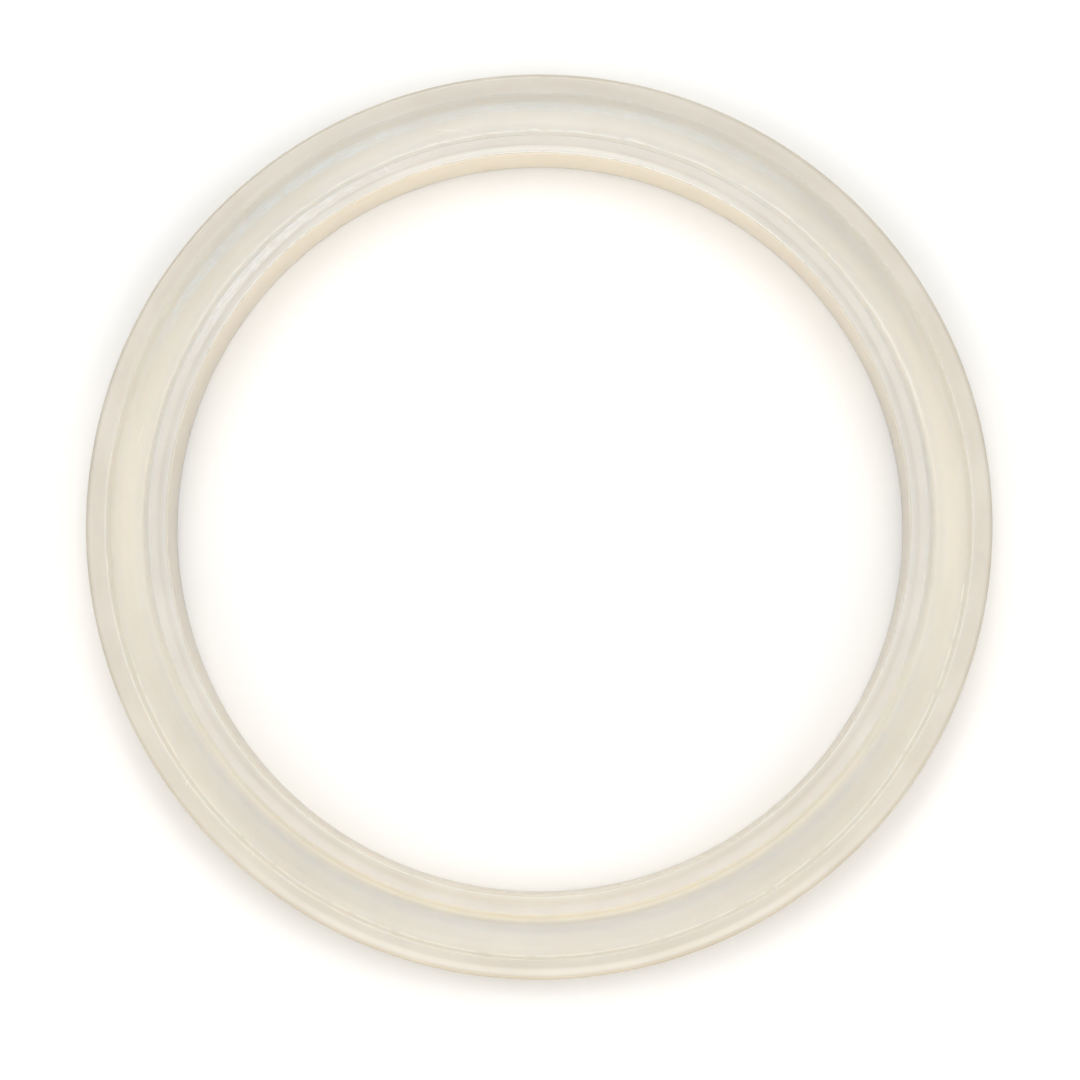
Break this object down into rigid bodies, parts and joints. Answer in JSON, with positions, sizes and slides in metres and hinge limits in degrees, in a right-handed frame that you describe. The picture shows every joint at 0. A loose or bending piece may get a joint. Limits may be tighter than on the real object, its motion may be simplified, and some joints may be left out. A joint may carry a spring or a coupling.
{
  "type": "silicone seal ring",
  "caption": "Moulded ring of milky translucent silicone with a U-shaped channel in its upper face, between a tall lip round the bore and a lower lip at the rim, for sealing one round metal face to another.",
  "frame": {"origin": "centre of the flat underside, on the bore axis", "axes": "+Z along the bore axis, out of the open channel; X and Y are free"},
  "size_m": [0.066, 0.066, 0.0073],
  "materials": {
    "silicone": "milky translucent, satin, with fine moulding marks"
  },
  "bodies": {
    "root": {"seal_ring": "silicone"}
  },
  "joints": []
}
